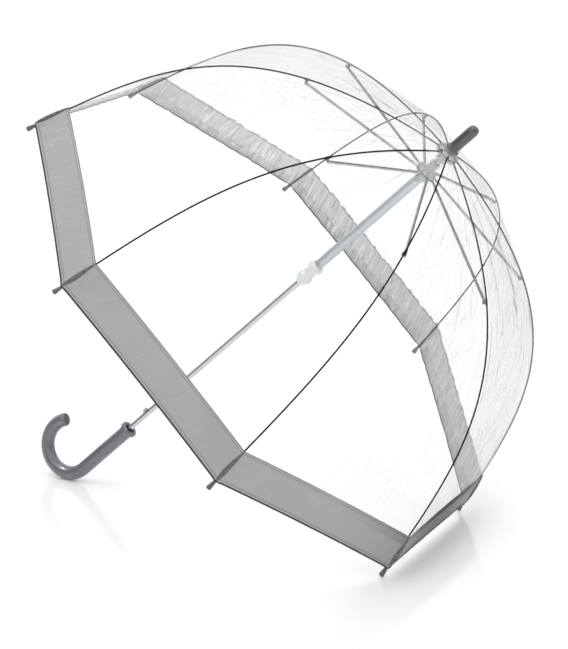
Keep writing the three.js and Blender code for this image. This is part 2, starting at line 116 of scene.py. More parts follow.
FINE_RUFFLE = 0.0007
BROAD_RUFFLE = 0.0016
TAUT_GATHER = 0.0003
SLACK_GATHER = 0.0022
PLEAT_HEIGHT = 0.0020
PLEAT_WIDTH = 0.0035
FRAY_DEPTH = 0.0045
FRAY_REACH = 0.016

# ---- Places round the umbrella as (centre, width), counted in ribs.

LOW_GORES = (4.9, 1.05)
HIGH_GORES = (7.6, 1.5)
SLACK_SIDE = (6.9, 1.55)
# SHADED_BAND is where the border band is given painted shade.
SHADED_BAND = (4.5, 0.48)

# ---- Camera, placed in the first rib's frame: outwards, sideways and up the shaft.

CAMERA_PLACE = (1.0865, 3.5395, 1.8010)
CAMERA_VIEW = (-0.27259, -0.85985, -0.43170)
CAMERA_DOWN = (-0.63799, 0.49739, -0.58785)
CAMERA_LENS = 171.0

# ---- The umbrella's own frame, read from its joints.


def hinge_place(rib):
    return Vector(JOINTS[f"rib_hinge_{rib}"]["pos_m"])


def mean(vectors):
    return sum(vectors, Vector()) / len(vectors)


SHAFT_UP = -Vector(JOINTS["runner_slide"]["axis"]).normalized()
RIM_CENTRE = mean([hinge_place(rib) for rib in range(1, RIBS + 1)]) - NOTCH_HEIGHT * SHAFT_UP


def rib_axes(rib):
    """The rib's outward, sideways and up-the-shaft directions, as the columns of a matrix."""
    sideways = Vector(JOINTS[f"rib_hinge_{rib}"]["axis"]).normalized()
    outward = sideways.cross(SHAFT_UP).normalized()
    return Matrix((outward, sideways, SHAFT_UP)).transposed()


def rib_to_row(rib, points):
    """Points given as (outward, sideways, up) in a rib's frame, in the part's frame."""
    axes = np.array(rib_axes(rib))
    return np.asarray(points, float) @ axes.T + np.array(RIM_CENTRE)


# ---- The rib's line, by its share of the arc length.


def bezier(t):
    t = np.asarray(t, float)[..., None]
    a, b, c, d = RIB_BEZIER
    return (1 - t) ** 3 * a + 3 * (1 - t) ** 2 * t * b + 3 * (1 - t) * t**2 * c + t**3 * d


FINE = np.linspace(0, 1, 2001)
FINE_POINTS = bezier(FINE)
ARC = np.concatenate([[0], np.cumsum(np.linalg.norm(np.diff(FINE_POINTS, axis=0), axis=1))])
RIB_LENGTH = float(ARC[-1])
ARC_SHARE = ARC / RIB_LENGTH
BAND_SHARE = 1 - BAND_WIDTH / RIB_LENGTH
BAND_START = RIB_LENGTH - BAND_WIDTH


def rib_point(share):
    """(outward, up) on the rib's centre line and the direction away from the shaft there."""
    t = np.interp(share, ARC_SHARE, FINE)
    point = bezier(t)
    along = bezier(np.minimum(t + 1e-3, 1)) - bezier(np.minimum(t, 1 - 1e-3))
    along /= np.linalg.norm(along, axis=-1, keepdims=True)
    away = np.stack([-along[..., 1], along[..., 0]], axis=-1)
    return point, away


# ---- The canopy's surface, one sector to each side of a rib.


def sector_surface(share, across, height):
    """Points of a sector in its rib's frame. across runs from -1, half way to the rib before, to 1,
    half way to the rib after. height is the distance outside the film's inner face."""
    share, across, height = np.broadcast_arrays(share, across, height)
    lerp = np.abs(across) / 2
    middle = 4 * lerp * (1 - lerp)
    bowed = np.clip(share - HEM_BOW / RIB_LENGTH * middle * np.clip(share, 0, 1) ** 6, 0, 1)
    point, away = rib_point(bowed)
    lift = FILM_OFFSET + APEX_LIFT * np.clip(1 - bowed / APEX_REACH, 0, 1) ** 2 + height
    edge = point + away * lift[..., None]
    outward = edge[..., 0] * (1 - lerp + lerp * math.cos(RIB_STEP))
    sideways = edge[..., 0] * lerp * math.sin(RIB_STEP) * np.sign(across)
    dip = 1 - PANEL_DIP * np.sin(math.pi * bowed) * middle / RIM_RADIUS
    return np.stack([outward * dip, sideways * dip, edge[..., 1]], axis=-1)


# ---- Mesh helpers.


def link(name, mesh):
    piece = bpy.data.objects.new(name, mesh)
    bpy.context.scene.collection.objects.link(piece)
    return piece


def grid_faces(rows, columns, closed=False):
    """Quads over a grid of points, joined from the last column to the first if closed."""
    index = np.arange(rows * columns).reshape(rows, columns)
    if closed:
        index = np.concatenate([index, index[:, :1]], axis=1)
    corners = [index[:-1, :-1], index[1:, :-1], index[1:, 1:], index[:-1, 1:]]
    return np.stack(corners, axis=-1).reshape(-1, 4)


def grid_normals(points):
    """Unit normals of a grid of points, away from the shaft."""
    down = np.gradient(points, axis=0)
    aside = np.gradient(points, axis=1)
    normals = np.cross(down, aside)
    return normals / np.maximum(np.linalg.norm(normals, axis=-1, keepdims=True), 1e-12)


def sheet_mesh(name, points, uv, material, values, normals=None):
    """A sheet over a grid of points, with UVs in metres and named numbers at each point."""
    rows, columns = points.shape[:2]
    faces = grid_faces(rows, columns)
    mesh = bpy.data.meshes.new(name)
    mesh.from_pydata(points.reshape(-1, 3).tolist(), [], faces.tolist())
    layer = mesh.uv_layers.new(name="metres")
    layer.data.foreach_set("uv", uv.reshape(-1, 2)[faces.ravel()].astype(np.float32).ravel())
    for label, numbers in values.items():
        field = mesh.attributes.new(label, "FLOAT", "POINT")
        field.data.foreach_set("value", numbers.astype(np.float32).ravel())
    mesh.materials.append(material)
    mesh.shade_smooth()
    if normals is not None:
        mesh.normals_split_custom_set_from_vertices(normals.reshape(-1, 3).tolist())
    return link(name, mesh)


def tube_mesh(name, line, radius, material):
    """A round tube with closed ends along a line of points."""
    line = np.asarray(line, float)
    along = np.gradient(line, axis=0)
    along /= np.linalg.norm(along, axis=1, keepdims=True)
    aside = np.cross(along, [0.0, 0.0, 1.0])
    aside /= np.linalg.norm(aside, axis=1, keepdims=True)
    above = np.cross(aside, along)
    rings = []
    for point, a, b in zip(line, aside, above):
        for angle in np.linspace(0, 2 * math.pi, TUBE_SIDES, endpoint=False):
            rings.append(point + radius * (math.cos(angle) * a + math.sin(angle) * b))
    faces = grid_faces(len(line), TUBE_SIDES, closed=True).tolist()
    faces.append(list(range(TUBE_SIDES)))
    faces.append(list(range(len(rings) - TUBE_SIDES, len(rings)))[::-1])
    mesh = bpy.data.meshes.new(name)
    mesh.from_pydata(rings, [], faces)
    mesh.materials.append(material)
    mesh.shade_smooth()
    return link(name, mesh)


# ---- Material helpers.


class Nodes:
    """A small builder of node materials round one Principled shader."""

    def __init__(self, name):
        self.material = bpy.data.materials.new(name)
        self.material.use_nodes = True
        self.tree = self.material.node_tree
        self.shader = self.tree.nodes["Principled BSDF"]

    def add(self, kind, **values):
        node = self.tree.nodes.new(kind)
        for name, value in values.items():
            if hasattr(node, name):
                setattr(node, name, value)
            else:
                node.inputs[name.replace("_", " ")].default_value = value
        return node

    def join(self, output, target):
        self.tree.links.new(output, target)

    def drive(self, **outputs):
        """Joins outputs to the shader's own sockets."""
        for name, output in outputs.items():
            self.join(output, self.shader.inputs[name.replace("_", " ")])

    def set(self, **values):
        for name, value in values.items():
            self.shader.inputs[name.replace("_", " ")].default_value = value
        return self

    def place(self):
        return self.add("ShaderNodeTexCoord").outputs["Object"]

    def strips(self, stretch, turn=0.0):
        """UV coordinates drawn out along the second direction, turned by an angle."""
        uv = self.add("ShaderNodeTexCoord").outputs["UV"]
        mapping = self.add("ShaderNodeMapping", vector_type="TEXTURE")
        mapping.inputs["Scale"].default_value = (1, stretch, 1)
        mapping.inputs["Rotation"].default_value = (0, 0, turn)
        self.join(uv, mapping.inputs["Vector"])
        return mapping.outputs["Vector"]

    def noise(self, scale, vector=None, detail=3.0, distortion=0.0):
        texture = self.add("ShaderNodeTexNoise", Scale=scale, Detail=detail, Distortion=distortion)
        self.join(vector or self.place(), texture.inputs["Vector"])
        return texture.outputs["Fac"]

    def value(self, name):
        """A named number carried by the mesh's points."""
        return self.add("ShaderNodeAttribute", attribute_name=name).outputs["Fac"]

    def down_the_rib(self):
        """The distance from the apex along the rib, in metres."""
        split = self.add("ShaderNodeSeparateXYZ")
        self.join(self.add("ShaderNodeTexCoord").outputs["UV"], split.inputs["Vector"])
        return split.outputs["Y"]

    def ramp(self, value, low, high):
        """Maps value from the span low[0]..high[0] to low[1]..high[1]."""
        spread = self.add("ShaderNodeMapRange", clamp=True)
        spread.inputs["From Min"].default_value = low[0]
        spread.inputs["From Max"].default_value = high[0]
        spread.inputs["To Min"].default_value = low[1]
        spread.inputs["To Max"].default_value = high[1]
        self.join(value, spread.inputs["Value"])
        return spread.outputs["Result"]

    def line(self, value, centre, width):
        """1 on a thin line where value is near centre, 0 away from it."""
        away = self.math("ABSOLUTE", self.math("SUBTRACT", value, centre), 0)
        return self.ramp(away, (0, 1), (width, 0))

    def colours(self, value, *stops):
        """A colour ramp through (position, colour) stops."""
        ramp = self.add("ShaderNodeValToRGB")
        elements = ramp.color_ramp.elements
        while len(elements) < len(stops):
            elements.new(0.5)
        for element, (position, colour) in zip(elements, stops):
            element.position = position
            element.color = (*colour, 1)
        self.join(value, ramp.inputs["Fac"])
        return ramp.outputs["Color"]

    def blend(self, share, first, second):
        """Mixes the colour first with the colour second by a share from 0 to 1."""
        mix = self.add("ShaderNodeMix", data_type="RGBA")
        self.join(share, mix.inputs["Factor"])
        for socket, colour in ((mix.inputs[6], first), (mix.inputs[7], second)):
            if isinstance(colour, tuple):
                socket.default_value = (*colour, 1)
            else:
                self.join(colour, socket)
        return mix.outputs[2]

    def math(self, operation, first, second):
        node = self.add("ShaderNodeMath", operation=operation)
        for socket, value in zip(node.inputs, (first, second)):
            if isinstance(value, (int, float)):
                socket.default_value = value
            else:
                self.join(value, socket)
        return node.outputs["Value"]

    def times(self, first, second):
        return self.math("MULTIPLY", first, second)

    def plus(self, first, second):
        return self.math("ADD", first, second)

    def capped(self, value):
        return self.math("MINIMUM", value, 1)

    def bump(self, height, distance, after=None):
        node = self.add("ShaderNodeBump", Strength=1.0, Distance=distance)
        self.join(height, node.inputs["Height"])
        if after is not None:
            self.join(after, node.inputs["Normal"])
        return node.outputs["Normal"]


# ---- Materials.


def metal(name, colour, roughness, wear):
    """Plated or drawn metal: faint cloudiness, fine scratches and a little wear."""
    nodes = Nodes(name).set(Metallic=1.0)
    cloud = nodes.noise(60)
    scratch = nodes.noise(900, detail=2)
    dark = tuple(c * wear for c in colour)
    nodes.drive(
        Base_Color=nodes.colours(cloud, (0.3, dark), (0.6, colour)),
        Roughness=nodes.ramp(scratch, (0.35, roughness * 0.8), (0.7, roughness * 1.4)),
        Normal=nodes.bump(scratch, 0.00003),
    )
    return nodes.material


def plastic(name, colour, roughness, coat, spread=0.95):
    """Moulded plastic: faint flow marks, a fine skin, and hair scratches that dull the gloss."""
    nodes = Nodes(name).set(Coat_Weight=coat, Coat_Roughness=0.16)
    flow = nodes.noise(14)
    scratch = nodes.line(nodes.noise(70, detail=5, distortion=1.5), 0.5, 0.006)
    pale = tuple(min(1, c * 1.03) for c in colour)
    dark = tuple(c * spread for c in colour)
    ground = nodes.colours(flow, (0.3, dark), (0.7, pale))
    scuffed = tuple(min(1, c * 1.25) for c in colour)
    gloss = nodes.ramp(flow, (0.3, roughness), (0.7, roughness * 1.1))
    nodes.drive(
        Base_Color=nodes.blend(nodes.times(scratch, 0.35), ground, scuffed),
        Roughness=nodes.plus(gloss, nodes.times(scratch, 0.15)),
        Normal=nodes.bump(nodes.noise(1300, detail=2), 0.000004),
    )
    return nodes.material


def rib_rod():
    """Fibreglass rod: fine fibres along the rod under a satin resin skin."""
    nodes = Nodes("rib_rod").set(Specular_IOR_Level=0.1)
    fibre = nodes.noise(1400, detail=4)
    dark, pale = (0.002, 0.002, 0.0025), (0.008, 0.008, 0.0085)
    nodes.drive(
        Base_Color=nodes.colours(fibre, (0.3, dark), (0.75, pale)),
        Roughness=nodes.ramp(fibre, (0.3, 0.32), (0.7, 0.5)),
        Normal=nodes.bump(fibre, 0.00003),
    )
    return nodes.material


def frosted_plastic():
    """Translucent moulded plastic, clearer where it is thin."""
    nodes = Nodes("frosted_plastic").set(Roughness=0.18, Coat_Weight=0.3)
    flow = nodes.noise(90)
    nodes.drive(
        Base_Color=nodes.colours(flow, (0.3, (0.50, 0.53, 0.55)), (0.7, (0.74, 0.77, 0.78))),
        Alpha=nodes.ramp(flow, (0.35, 0.5), (0.65, 0.75)),
        Normal=nodes.bump(nodes.noise(800), 0.00003),
    )
    return nodes.material


def grey_film():
    """Opaque grey film: fine grain, welded ridges at both edges, pleats where it is slack with painted
    shade and painted highlights along them, a paler slack side that is partly painted light, and a
    stretch with painted shade, darker and duller, with a painted shadow along its top edge."""
    nodes = Nodes("grey_film").set(Sheen_Weight=0.1, Sheen_Roughness=0.4)
    slack = nodes.value("creasing")
    shaded = nodes.value("shaded")
    run = nodes.down_the_rib()
    grain = nodes.noise(2600, detail=2)
    cloud = nodes.noise(9, detail=2)
    pleat = nodes.noise(75, nodes.strips(14, turn=0.26), detail=4, distortion=0.3)
    fine = nodes.noise(210, nodes.strips(16, turn=0.32), detail=3, distortion=0.3)
    tone = nodes.plus(nodes.times(cloud, 0.85), nodes.times(grain, 0.15))
    ground = nodes.colours(tone, (0.35, (0.388, 0.382, 0.373)), (0.65, (0.428, 0.423, 0.415)))
    # Paler where the band is slack on the far side, and paler still on its hem inside: partly the film's veil over
    # the band, partly painted light.
    ground = nodes.blend(nodes.times(slack, 0.5), ground, (0.50, 0.50, 0.51))
    # Painted shade: the stretch of band round SHADED_BAND is painted much darker and made duller.
    ground = nodes.blend(nodes.times(shaded, 0.85), ground, (0.12, 0.118, 0.112))
    hem = nodes.times(nodes.value("inner"), slack)
    ground = nodes.blend(nodes.times(hem, 0.55), ground, (0.60, 0.60, 0.61))
    # Painted shade in the pleats and along the crease lines, and painted highlights along the glint lines, all
    # where the band is slack.
    shade = nodes.times(nodes.ramp(pleat, (0.44, 0.55), (0.56, 0)), slack)
    crease_shade = nodes.plus(nodes.line(pleat, 0.47, 0.006), nodes.line(fine, 0.42, 0.006))
    glint = nodes.plus(nodes.line(pleat, 0.53, 0.012), nodes.line(fine, 0.56, 0.012))
    colour = nodes.blend(shade, ground, (0.34, 0.34, 0.35))
    colour = nodes.blend(nodes.times(nodes.times(crease_shade, slack), 0.55), colour, (0.10, 0.10, 0.105))
    colour = nodes.blend(nodes.times(nodes.capped(glint), slack), colour, (0.93, 0.93, 0.94))
    first_weld = nodes.line(run, BAND_START + 0.0012, 0.0008)
    second_weld = nodes.line(run, BAND_START + 0.0046, 0.0006)
    rim_weld = nodes.line(run, RIB_LENGTH - 0.0042, 0.0007)
    welds = nodes.capped(nodes.plus(nodes.plus(first_weld, second_weld), rim_weld))
    colour = nodes.blend(nodes.times(welds, 0.7), colour, (0.11, 0.107, 0.10))
    # Painted shadow: a near-black line along the top edge of that shaded stretch.
    top_edge_shadow = nodes.ramp(run, (BAND_START + 0.0150, 1), (BAND_START + 0.0190, 0))
    colour = nodes.blend(nodes.times(top_edge_shadow, shaded), colour, (0.012, 0.012, 0.013))
    height = nodes.plus(nodes.times(pleat, slack), nodes.times(welds, -0.5))
    gloss = nodes.ramp(cloud, (0.3, 0.34), (0.7, 0.46))
    nodes.drive(
        Base_Color=colour,
        Roughness=nodes.plus(gloss, nodes.times(shaded, 0.5)),
        Normal=nodes.bump(height, 0.0009, after=nodes.bump(grain, 0.00003)),
    )
    return nodes.material


def clear_film():
    """Clear film: nearly invisible face on, with a painted grey that deepens at a glance for its
    reflection, and streaks and creases drawn as painted highlights and painted dark reflections.
    """
    nodes = Nodes("clear_film").set(Roughness=0.05, IOR=1.45)
    creasing = nodes.value("creasing")
    lining = nodes.value("lining")
    streak = nodes.noise(120, nodes.strips(26), detail=4, distortion=0.4)
    strand = nodes.noise(60, nodes.strips(34, turn=0.05), detail=3, distortion=0.8)
    upper = nodes.ramp(nodes.down_the_rib(), (0.12, 1), (0.45, 0.2))
    cross = nodes.noise(45, nodes.strips(9, turn=0.5), detail=4, distortion=0.6)
    gather = nodes.noise(120, nodes.strips(15, turn=0.32), detail=3, distortion=0.25)
    patch = nodes.ramp(nodes.noise(11, detail=2), (0.42, 0.05), (0.62, 1.0))
    # Facing darkens the film's colour at a glance: a painted grey for its reflection there.
    facing = nodes.add("ShaderNodeLayerWeight", Blend=0.3).outputs["Facing"]
    strength = nodes.times(creasing, patch)
    # pale marks are painted highlights and dark marks are painted dark reflections, along the streaks and creases.
    pale = nodes.plus(nodes.ramp(streak, (0.55, 0), (0.62, 1)), nodes.line(cross, 0.58, 0.014))
    dark = nodes.plus(nodes.line(streak, 0.42, 0.010), nodes.line(cross, 0.46, 0.007))
    pale = nodes.times(nodes.capped(pale), strength)
    dark = nodes.times(nodes.capped(dark), strength)
    # The drawn strands are painted dark reflections, strongest near the apex.
    drawn = nodes.times(nodes.line(strand, 0.57, 0.012), nodes.times(upper, creasing))
    dark = nodes.plus(dark, nodes.times(drawn, 2.2))
    # On the lining, the gather lines are painted highlights and painted dark reflections too.
    pale = nodes.plus(pale, nodes.times(nodes.line(gather, 0.58, 0.020), lining))
    dark = nodes.plus(dark, nodes.times(nodes.line(gather, 0.47, 0.012), lining))
    body = nodes.colours(
        facing,
        (0.0, (0.92, 0.92, 0.93)),
        (0.35, (0.86, 0.87, 0.89)),
        (0.60, (0.60, 0.62, 0.66)),
        (0.85, (0.32, 0.33, 0.36)),
        (1.0, (0.08, 0.08, 0.09)),
    )
    # The lining is pale and more opaque where the band is slack: partly the film's veil over the band, partly
    # painted light.
    body = nodes.blend(lining, body, (0.90, 0.90, 0.91))
    colour = nodes.blend(dark, body, (0.05, 0.05, 0.055))
    colour = nodes.blend(pale, colour, (0.97, 0.97, 0.98))
    soft_glance = nodes.ramp(facing, (0.05, 0.11), (0.75, 0.28))
    glance = nodes.plus(soft_glance, nodes.ramp(facing, (0.80, 0), (1.0, 0.42)))
    glance = nodes.times(glance, nodes.ramp(creasing, (0, 0.80), (0.9, 1.35)))
    marks = nodes.plus(nodes.times(pale, 0.50), nodes.times(dark, 0.55))
    shown = nodes.plus(nodes.plus(glance, marks), nodes.times(lining, 0.60))
    beside_rib = nodes.ramp(nodes.value("from_rib"), (0.0024, 0), (0.0045, 1))
    nodes.drive(
        Base_Color=colour,
        Alpha=nodes.times(nodes.capped(shown), beside_rib),
        Normal=nodes.bump(nodes.plus(nodes.times(streak, strength), cross), 0.0009),
    )
    return nodes.material


def sealed_edge(name, low, high, coat):
    """Heat-sealed film, melted to a dark gloss. On the tip pockets the darkness is painted shade in the fold of
    film.
    """
    nodes = Nodes(name).set(Coat_Weight=coat, Coat_Roughness=0.12)
    seal = nodes.noise(260)
    nodes.drive(
        Base_Color=nodes.colours(seal, (0.3, low), (0.7, high)),
        Roughness=nodes.ramp(seal, (0.3, 0.22), (0.7, 0.42)),
        Normal=nodes.bump(seal, 0.0003),
    )
    return nodes.material


MATERIALS = {
    "chromed_steel": metal("chromed_steel", (0.60, 0.61, 0.63), 0.07, 0.95),
    "runner_metal": metal("runner_metal", (0.61, 0.65, 0.675), 0.40, 0.96),
    "steel": metal("steel", (0.46, 0.47, 0.49), 0.24, 0.6),
    "rib_rod": rib_rod(),
    "clip_metal": metal("clip_metal", (0.10, 0.10, 0.11), 0.38, 0.5),
    "tie_wire": metal("tie_wire", (0.035, 0.035, 0.038), 0.45, 0.6),
    "white_plastic": plastic("white_plastic", (0.79, 0.81, 0.825), 0.3, coat=0.35, spread=0.98),
    "frosted_plastic": frosted_plastic(),
    "grey_plastic": plastic("grey_plastic", (0.150, 0.155, 0.175), 0.26, coat=1.0),
    "dark_plastic": plastic("dark_plastic", (0.080, 0.080, 0.084), 0.22, coat=0.8),
    "grey_film": grey_film(),
    "clear_film": clear_film(),
    "binding": sealed_edge("binding", (0.004, 0.004, 0.004), (0.014, 0.014, 0.014), 0.0),
    # The pocket's dark grey is painted shade in the fold of film round each rib's end.
    "pocket": sealed_edge("pocket", (0.055, 0.054, 0.052), (0.15, 0.148, 0.143), 0.7),
}


def dress_cad_nodes():
    """Gives each CAD node its slot's material and smooth shading. The rib clips wear a darker one."""
    for entry in frame["record"]["subparts"]:
        node = NODES[entry["node"]]
        node.data.materials.clear()
        slot = "clip_metal" if entry["node"].startswith("rib_clip_") else entry["material_slot"]
        node.data.materials.append(MATERIALS[slot])
        node.data.shade_smooth()
        split = node.modifiers.new("sharp_edges", "EDGE_SPLIT")
        split.split_angle = SHARP_EDGE


# ---- Canopy pieces.


def azimuth_field(rib, across):
    """The place round the umbrella in ribs, from 0 to RIBS."""
    return (rib + across / 2) % RIBS


def near_place(rib, across, place):
    """1 at the centre of a place round the umbrella, falling off over its width."""
    centre, width = place
    away = (azimuth_field(rib, across) - centre + RIBS / 2) % RIBS - RIBS / 2
    return np.exp(-((away / width) ** 2))


def smooth_noise(rib, share, across, rings, along, seed):
    """Noise over the canopy that carries on from one sector to the next."""
    angle = RIB_STEP * azimuth_field(rib, across)
    cosine = rings * np.cos(angle)
    sine = rings * np.sin(angle)
    length = along * share + seed
    found = np.zeros(share.shape)
    for place in np.ndindex(share.shape):
        found[place] = noise.noise(Vector((cosine[place], sine[place], length[place])))
    return found


def ruffle(rib, share, across):
    """How far the soft film stands off its smooth surface at each point, outwards."""
    fine = smooth_noise(rib, share, across, 22, 1.3, 0)
    broad = smooth_noise(rib, share, across, 7, 2.1, 9)
    between = 4 * np.abs(across / 2) * (1 - np.abs(across / 2))
    ends = np.clip(share * 6, 0, 1) * np.clip((1.0 - share) * 8, 0, 1)
    return (FINE_RUFFLE * fine + BROAD_RUFFLE * broad) * between * ends


def film_creasing(rib, share, across):
    """How creased the film is: most round the apex and in the gores that lie low or face up."""
    low = near_place(rib, across, LOW_GORES)
    high = near_place(rib, across, HIGH_GORES)
    apex = np.exp(-share / 0.16)
    return np.clip(0.07 + 0.93 * low + 0.35 * high + 0.9 * apex, 0, 1)


def apex_row(columns):
    """The film's top edge, clamped round the shaft."""
    lerp = np.abs(columns) / 2
    outward = APEX_RADIUS * (1 - lerp + lerp * math.cos(RIB_STEP))
    sideways = APEX_RADIUS * lerp * math.sin(RIB_STEP) * np.sign(columns)
    return np.stack([outward, sideways, np.full_like(columns, APEX_HEIGHT)], axis=-1)


def spread_columns(half_count):
    """Places across a sector, with one more beyond each edge to smooth the shading over it."""
    step = 1 / half_count
    return np.linspace(-1 - step, 1 + step, 2 * half_count + 3)


def rolled_out(rib, share, across):
    """UVs: the distance round the rim and the distance down the rib, in metres."""
    return np.stack([HALF_CHORD * (2 * rib + across), share * RIB_LENGTH], axis=-1)


def kept_columns(count, side):
    """The columns on one side of the rib, or all of them, without the ones beyond the edges."""
    middle = count // 2
    first, last = {-1: (1, middle + 1), 0: (1, count - 1), 1: (middle, count - 1)}[side]
    return slice(None), slice(first, last)


def finish_sheet(name, rib, points, share, across, values, material, side=0):
    """Drops the extra columns and makes the sheet."""
    placed = rib_to_row(rib, points)
    normals = grid_normals(placed)
    inner = kept_columns(points.shape[1], side)
    uv = rolled_out(rib, share, across)
    kept = {label: numbers[inner] for label, numbers in values.items()}
    return sheet_mesh(name, placed[inner], uv[inner], material, kept, normals[inner])


def rib_distance(share, across):
    """How far each point lies from the rib, in metres."""
    point, _ = rib_point(share)
    return np.abs(across) * point[..., 0] * math.sin(HALF_STEP)


def film_sector(rib):
    """The clear film to both sides of a rib, from the apex to just under the band's top edge."""
    rows = np.concatenate([[0.0, 0.004], np.linspace(0.02, BAND_SHARE + 0.006, 58)])
    columns = spread_columns(FILM_COLUMNS)
    share, across = np.meshgrid(rows, columns, indexing="ij")
    height = FILM_HEIGHT + ruffle(rib, share, across)
    points = sector_surface(share, across, height)
    points[0] = apex_row(columns)
    values = {
        "creasing": film_creasing(rib, share, across),
        "from_rib": rib_distance(share, across),
        "lining": np.zeros_like(share),
    }
    name = f"canopy_film_{rib}"
    return finish_sheet(name, rib, points, share, across, values, MATERIALS["clear_film"])


def slackness(rib, across):
    """How loose the border band is: taut on the near side and gathered on the far side."""
    return near_place(rib, across, SLACK_SIDE)


def crinkle(rib, share, across):
    """Gathers of the border band across its width, which lean to one side."""
    lean = 3 * (share - BAND_SHARE) * RIB_LENGTH
    pleats = smooth_noise(rib, share, across + 8 * lean / math.pi, 34, 6, 4)
    slack = TAUT_GATHER + SLACK_GATHER * slackness(rib, across)
    return slack * pleats * np.clip(np.abs(across) * 6, 0, 1)


def tip_pleats(share, across):
    """A pleat on each side of the rib that fans up from its tip across the band."""
    run = (1 - share) * RIB_LENGTH
    reach = np.abs(across) * HALF_CHORD
    ridge = np.exp(-(((reach - 0.004 - 0.30 * run) / PLEAT_WIDTH) ** 2))
    return PLEAT_HEIGHT * ridge * np.clip(1 - run / BAND_WIDTH, 0, 1)


def band_shares():
    """Shares of the rib down the band, from its top edge to the rim."""
    return np.linspace(BAND_SHARE, 1, BAND_ROWS + 1)


def band_rows():
    """(share, height) down the outside of the band, round the rim and up the hem inside."""
    outside = [(share, BAND_HEIGHT) for share in band_shares()]
    inside = [(share, HEM_HEIGHT) for share in band_shares()[: -HEM_ROWS - 2 : -1]]
    return np.array(outside + [(1.0015, FILM_HEIGHT)] + inside)


def frayed(rib, share, across):
    """Shifts of the band's upper edge along the rib, where the band is gathered."""
    saw = smooth_noise(rib, np.full_like(share, 0.5), across, 60, 1, 17)
    upper = np.clip(1 - (share - BAND_SHARE) * RIB_LENGTH / FRAY_REACH, 0, 1)
    return FRAY_DEPTH / RIB_LENGTH * saw * upper * slackness(rib, across)


def band_half(rib, label, side):
    """The opaque band on one side of a rib, with its hem turned in at the rim."""
    profile = band_rows()
    columns = spread_columns(BAND_COLUMNS)
    share, across = np.meshgrid(profile[:, 0], columns, indexing="ij")
    height = np.repeat(profile[:, 1:2], len(columns), axis=1)
    height = height + crinkle(rib, share, across) + tip_pleats(share, across)
    points = sector_surface(share + frayed(rib, share, across), across, height)
    values = {
        "creasing": 0.06 + 0.94 * slackness(rib, across),
        "shaded": near_place(rib, across, SHADED_BAND),
        "inner": np.repeat(profile[:, 1:2] < 0, len(columns), axis=1).astype(float),
    }
    name = f"border_{rib}_{label}"
    material = MATERIALS["grey_film"]
    return finish_sheet(name, rib, points, share, across, values, material, side)


def lining_half(rib, label, side):
    """The clear film that runs on under the band to the rim, and lines it."""
    columns = spread_columns(BAND_COLUMNS)
    share, across = np.meshgrid(band_shares()[1:], columns, indexing="ij")
    height = FILM_HEIGHT + crinkle(rib, share, across)
    points = sector_surface(share, across, height)
    values = {
        "creasing": np.zeros_like(share),
        "from_rib": np.full_like(share, 1.0),
        "lining": 0.25 + 0.75 * slackness(rib, across),
    }
    name = f"band_lining_{rib}_{label}"
    material = MATERIALS["clear_film"]
    return finish_sheet(name, rib, points, share, across, values, material, side)


def rim_binding(rib, label, side):
    """The dark sealed cord along the rim, from the rib to half way to its neighbour."""
    across = np.linspace(0, side, 31)
    share = np.full_like(across, 1.0)
    height = BINDING_HEIGHT + crinkle(rib, share, across) + tip_pleats(share, across)
    line = sector_surface(share, across, height)
    line[:, 2] -= 0.6 * BINDING_RADIUS
    name = f"rim_binding_{rib}_{label}"
    return tube_mesh(name, rib_to_row(rib, line), BINDING_RADIUS, MATERIALS["binding"])


def tip_pocket(rib):
    """The leaf-shaped fold of film that wraps the rib's end, from its tip to the band's top."""
    rows = np.linspace(0, 1, 25)
    turns = np.linspace(-1, 1, 15)
    run, turn = np.meshgrid(rows, turns, indexing="ij")
    swell = np.sin(math.pi * (0.06 + 0.90 * run) ** 0.72) ** 0.8
    share = 1.002 - run * POCKET_LENGTH / RIB_LENGTH
    across = turn * swell * POCKET_WIDTH / 2 / HALF_CHORD
    crown = np.sqrt(np.clip(1 - turn**2, 0, 1))
    groove = 0.0005 * np.cos(3 * math.pi * turn) * swell
    height = 0.0006 + (0.0030 * crown * swell + groove * crown)
    points = rib_to_row(rib, sector_surface(share, across, height))
    uv = rolled_out(rib, share, across)
    name = f"tip_pocket_{rib}"
    # Its dark material is painted shade in the fold.
    return sheet_mesh(name, points, uv, MATERIALS["pocket"], {})


def fold_film(piece, rib):
    """The film gets its own mesh and rides on its rib's sector."""
    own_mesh(piece)
    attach(piece, f"canopy_sector_{rib}")


def fold_band(piece, rib, side):
    """The band's half gets its own mesh and rides on its rib's sector. The rim's chord to the rib's end is worked
    out but not used.
    """
    ends, _ = rib_point(np.array([BAND_SHARE, 1.0]))
    outward, up = ends[0] - ends[1]
    chord = np.array([-math.sin(HALF_STEP), side * math.cos(HALF_STEP), 0.0])
    chord[2] = -chord[0] * outward / up
    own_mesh(piece)
    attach(piece, f"canopy_sector_{rib}")


def flat_area(first, last):
    """The flat area of one gore between two distances down the rib, in metres."""
    run = np.linspace(first, last, 400)
    point, away = rib_point(np.clip(run / RIB_LENGTH, 0, 1))
    chord = 2 * math.sin(HALF_STEP) * (point[:, 0] + FILM_OFFSET * away[:, 0])
    return float(np.sum((chord[1:] + chord[:-1]) / 2) * (run[1] - run[0]))


def build_canopy():
    film_area = flat_area(0, BAND_START)
    band_area = flat_area(BAND_START, RIB_LENGTH) + flat_area(RIB_LENGTH - HEM_DEPTH, RIB_LENGTH)
    for rib in range(1, RIBS + 1):
        film = film_sector(rib)
        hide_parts(f"canopy_panel_{rib}")
        fold_film(film, rib)
        pocket = tip_pocket(rib)
        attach(pocket, f"canopy_sector_{rib}")
        for label, side in SIDES.items():
            band = band_half(rib, label, side)
            lining = lining_half(rib, label, side)
            binding = rim_binding(rib, label, side)
            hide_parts(f"border_band_{rib}")
            for piece in (band, lining, binding):
                fold_band(piece, rib, side)


